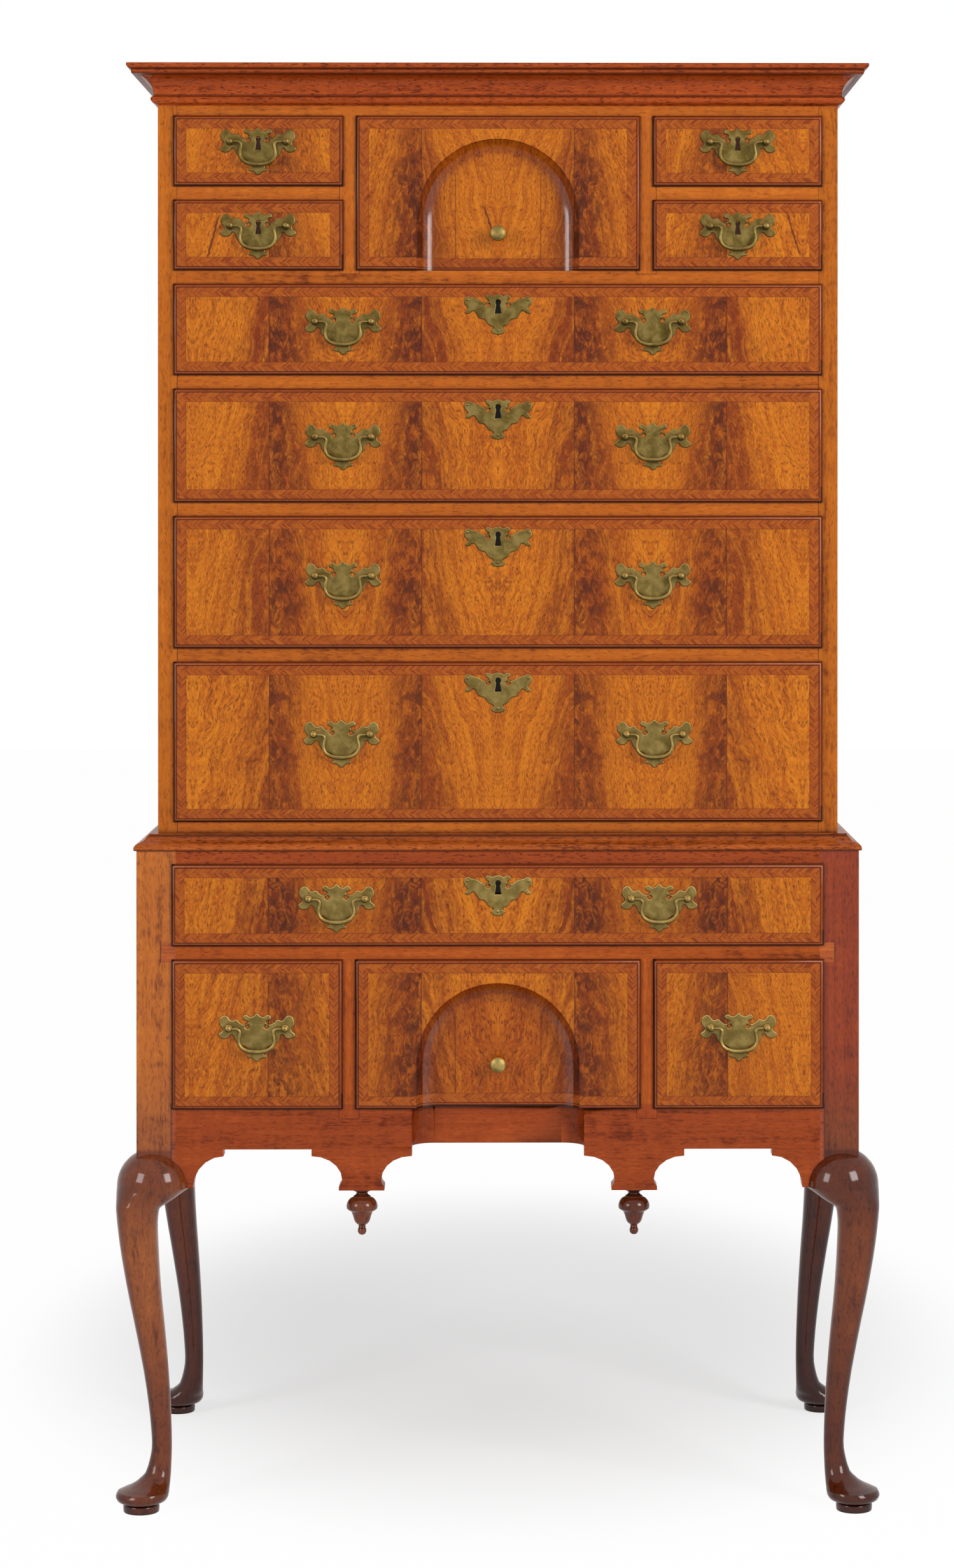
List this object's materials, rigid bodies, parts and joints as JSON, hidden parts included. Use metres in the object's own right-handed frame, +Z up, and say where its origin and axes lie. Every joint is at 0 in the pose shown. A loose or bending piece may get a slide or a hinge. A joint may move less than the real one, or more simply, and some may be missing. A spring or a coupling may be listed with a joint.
{
  "type": "highboy",
  "caption": "Flat-top walnut highboy: an upper case of graduated drawers on a lower case with scalloped apron, cabriole legs and swinging bail pulls.",
  "frame": {"origin": "on the floor, under the middle of the whole", "axes": "+Z up, front towards -Y, +X to the right of someone who faces the drawers"},
  "size_m": [0.9498, 0.575, 1.7978],
  "materials": {
    "walnut_front": "figured walnut veneer, old shellac polish",
    "walnut_case": "straight-grained walnut, old shellac polish",
    "walnut_moulding": "reddish walnut mouldings and apron, old shellac polish",
    "walnut_leg": "solid walnut, old shellac polish, glossy",
    "pine": "unfinished aged pine",
    "brass": "cast brass with a greenish brown patina, edges rubbed bright"
  },
  "bodies": {
    "case": {"upper_carcass": "walnut_case", "upper_back": "pine", "upper_front_frame": "walnut_front", "cornice": "walnut_moulding", "waist_moulding": "walnut_moulding", "lower_carcass": "walnut_case", "lower_front_frame": "walnut_moulding", "leg_front_left": "walnut_leg", "leg_front_right": "walnut_leg", "leg_rear_left": "walnut_leg", "leg_rear_right": "walnut_leg", "pendant_left": "walnut_leg", "pendant_right": "walnut_leg"},
    "bail_top_left_upper": {"bail_top_left_upper": "brass"},
    "drawer_top_left_upper": {"drawer_top_left_upper": "walnut_front", "plate_top_left_upper": "brass"},
    "bail_top_left_lower": {"bail_top_left_lower": "brass"},
    "drawer_top_left_lower": {"drawer_top_left_lower": "walnut_front", "plate_top_left_lower": "brass"},
    "drawer_top_centre": {"drawer_top_centre": "walnut_front", "knob_top_centre": "brass"},
    "bail_top_right_upper": {"bail_top_right_upper": "brass"},
    "drawer_top_right_upper": {"drawer_top_right_upper": "walnut_front", "plate_top_right_upper": "brass"},
    "bail_top_right_lower": {"bail_top_right_lower": "brass"},
    "drawer_top_right_lower": {"drawer_top_right_lower": "walnut_front", "plate_top_right_lower": "brass"},
    "bail_long_1_left": {"bail_long_1_left": "brass"},
    "bail_long_1_right": {"bail_long_1_right": "brass"},
    "drawer_long_1": {"drawer_long_1": "walnut_front", "plate_long_1_left": "brass", "plate_long_1_right": "brass"},
    "bail_long_2_left": {"bail_long_2_left": "brass"},
    "bail_long_2_right": {"bail_long_2_right": "brass"},
    "drawer_long_2": {"drawer_long_2": "walnut_front", "plate_long_2_left": "brass", "plate_long_2_right": "brass"},
    "bail_long_3_left": {"bail_long_3_left": "brass"},
    "bail_long_3_right": {"bail_long_3_right": "brass"},
    "drawer_long_3": {"drawer_long_3": "walnut_front", "plate_long_3_left": "brass", "plate_long_3_right": "brass"},
    "bail_long_4_left": {"bail_long_4_left": "brass"},
    "bail_long_4_right": {"bail_long_4_right": "brass"},
    "drawer_long_4": {"drawer_long_4": "walnut_front", "plate_long_4_left": "brass", "plate_long_4_right": "brass"},
    "bail_lower_long_left": {"bail_lower_long_left": "brass"},
    "bail_lower_long_right": {"bail_lower_long_right": "brass"},
    "drawer_lower_long": {"drawer_lower_long": "walnut_front", "plate_lower_long_left": "brass", "plate_lower_long_right": "brass"},
    "bail_lower_left": {"bail_lower_left": "brass"},
    "drawer_lower_left": {"drawer_lower_left": "walnut_front", "plate_lower_left": "brass"},
    "drawer_lower_centre": {"drawer_lower_centre": "walnut_front", "knob_lower_centre": "brass"},
    "bail_lower_right": {"bail_lower_right": "brass"},
    "drawer_lower_right": {"drawer_lower_right": "walnut_front", "plate_lower_right": "brass"}
  },
  "joints": [
    {"name": "slide_top_left_upper", "type": "slide", "parent": "case", "child": "drawer_top_left_upper", "axis": [0, -1, 0], "range_m": [0, 0.36]},
    {"name": "swing_bail_top_left_upper", "type": "hinge", "parent": "drawer_top_left_upper", "child": "bail_top_left_upper", "pos_m": [-0.29875, -0.2492, 1.70191], "axis": [-1, 0, 0], "range_deg": [-7, 160]},
    {"name": "slide_top_left_lower", "type": "slide", "parent": "case", "child": "drawer_top_left_lower", "axis": [0, -1, 0], "range_m": [0, 0.36]},
    {"name": "swing_bail_top_left_lower", "type": "hinge", "parent": "drawer_top_left_lower", "child": "bail_top_left_lower", "pos_m": [-0.29875, -0.2492, 1.59711], "axis": [-1, 0, 0], "range_deg": [-7, 160]},
    {"name": "slide_top_centre", "type": "slide", "parent": "case", "child": "drawer_top_centre", "axis": [0, -1, 0], "range_m": [0, 0.36]},
    {"name": "slide_top_right_upper", "type": "slide", "parent": "case", "child": "drawer_top_right_upper", "axis": [0, -1, 0], "range_m": [0, 0.36]},
    {"name": "swing_bail_top_right_upper", "type": "hinge", "parent": "drawer_top_right_upper", "child": "bail_top_right_upper", "pos_m": [0.29875, -0.2492, 1.70191], "axis": [-1, 0, 0], "range_deg": [-7, 160]},
    {"name": "slide_top_right_lower", "type": "slide", "parent": "case", "child": "drawer_top_right_lower", "axis": [0, -1, 0], "range_m": [0, 0.36]},
    {"name": "swing_bail_top_right_lower", "type": "hinge", "parent": "drawer_top_right_lower", "child": "bail_top_right_lower", "pos_m": [0.29875, -0.2492, 1.59711], "axis": [-1, 0, 0], "range_deg": [-7, 160]},
    {"name": "slide_long_1", "type": "slide", "parent": "case", "child": "drawer_long_1", "axis": [0, -1, 0], "range_m": [0, 0.36]},
    {"name": "swing_bail_long_1_left", "type": "hinge", "parent": "drawer_long_1", "child": "bail_long_1_left", "pos_m": [-0.193, -0.2492, 1.47801], "axis": [-1, 0, 0], "range_deg": [-7, 160]},
    {"name": "swing_bail_long_1_right", "type": "hinge", "parent": "drawer_long_1", "child": "bail_long_1_right", "pos_m": [0.193, -0.2492, 1.47801], "axis": [-1, 0, 0], "range_deg": [-7, 160]},
    {"name": "slide_long_2", "type": "slide", "parent": "case", "child": "drawer_long_2", "axis": [0, -1, 0], "range_m": [0, 0.36]},
    {"name": "swing_bail_long_2_left", "type": "hinge", "parent": "drawer_long_2", "child": "bail_long_2_left", "pos_m": [-0.193, -0.2492, 1.33454], "axis": [-1, 0, 0], "range_deg": [-7, 160]},
    {"name": "swing_bail_long_2_right", "type": "hinge", "parent": "drawer_long_2", "child": "bail_long_2_right", "pos_m": [0.193, -0.2492, 1.33454], "axis": [-1, 0, 0], "range_deg": [-7, 160]},
    {"name": "slide_long_3", "type": "slide", "parent": "case", "child": "drawer_long_3", "axis": [0, -1, 0], "range_m": [0, 0.36]},
    {"name": "swing_bail_long_3_left", "type": "hinge", "parent": "drawer_long_3", "child": "bail_long_3_left", "pos_m": [-0.193, -0.2492, 1.16147], "axis": [-1, 0, 0], "range_deg": [-7, 160]},
    {"name": "swing_bail_long_3_right", "type": "hinge", "parent": "drawer_long_3", "child": "bail_long_3_right", "pos_m": [0.193, -0.2492, 1.16147], "axis": [-1, 0, 0], "range_deg": [-7, 160]},
    {"name": "slide_long_4", "type": "slide", "parent": "case", "child": "drawer_long_4", "axis": [0, -1, 0], "range_m": [0, 0.36]},
    {"name": "swing_bail_long_4_left", "type": "hinge", "parent": "drawer_long_4", "child": "bail_long_4_left", "pos_m": [-0.195, -0.2492, 0.96396], "axis": [-1, 0, 0], "range_deg": [-7, 160]},
    {"name": "swing_bail_long_4_right", "type": "hinge", "parent": "drawer_long_4", "child": "bail_long_4_right", "pos_m": [0.195, -0.2492, 0.96396], "axis": [-1, 0, 0], "range_deg": [-7, 160]},
    {"name": "slide_lower_long", "type": "slide", "parent": "case", "child": "drawer_lower_long", "axis": [0, -1, 0], "range_m": [0, 0.38]},
    {"name": "swing_bail_lower_long_left", "type": "hinge", "parent": "drawer_lower_long", "child": "bail_lower_long_left", "pos_m": [-0.2, -0.2742, 0.76146], "axis": [-1, 0, 0], "range_deg": [-7, 160]},
    {"name": "swing_bail_lower_long_right", "type": "hinge", "parent": "drawer_lower_long", "child": "bail_lower_long_right", "pos_m": [0.2, -0.2742, 0.76146], "axis": [-1, 0, 0], "range_deg": [-7, 160]},
    {"name": "slide_lower_left", "type": "slide", "parent": "case", "child": "drawer_lower_left", "axis": [0, -1, 0], "range_m": [0, 0.38]},
    {"name": "swing_bail_lower_left", "type": "hinge", "parent": "drawer_lower_left", "child": "bail_lower_left", "pos_m": [-0.29875, -0.2742, 0.60137], "axis": [-1, 0, 0], "range_deg": [-7, 160]},
    {"name": "slide_lower_centre", "type": "slide", "parent": "case", "child": "drawer_lower_centre", "axis": [0, -1, 0], "range_m": [0, 0.38]},
    {"name": "slide_lower_right", "type": "slide", "parent": "case", "child": "drawer_lower_right", "axis": [0, -1, 0], "range_m": [0, 0.38]},
    {"name": "swing_bail_lower_right", "type": "hinge", "parent": "drawer_lower_right", "child": "bail_lower_right", "pos_m": [0.29875, -0.2742, 0.60137], "axis": [-1, 0, 0], "range_deg": [-7, 160]}
  ]
}
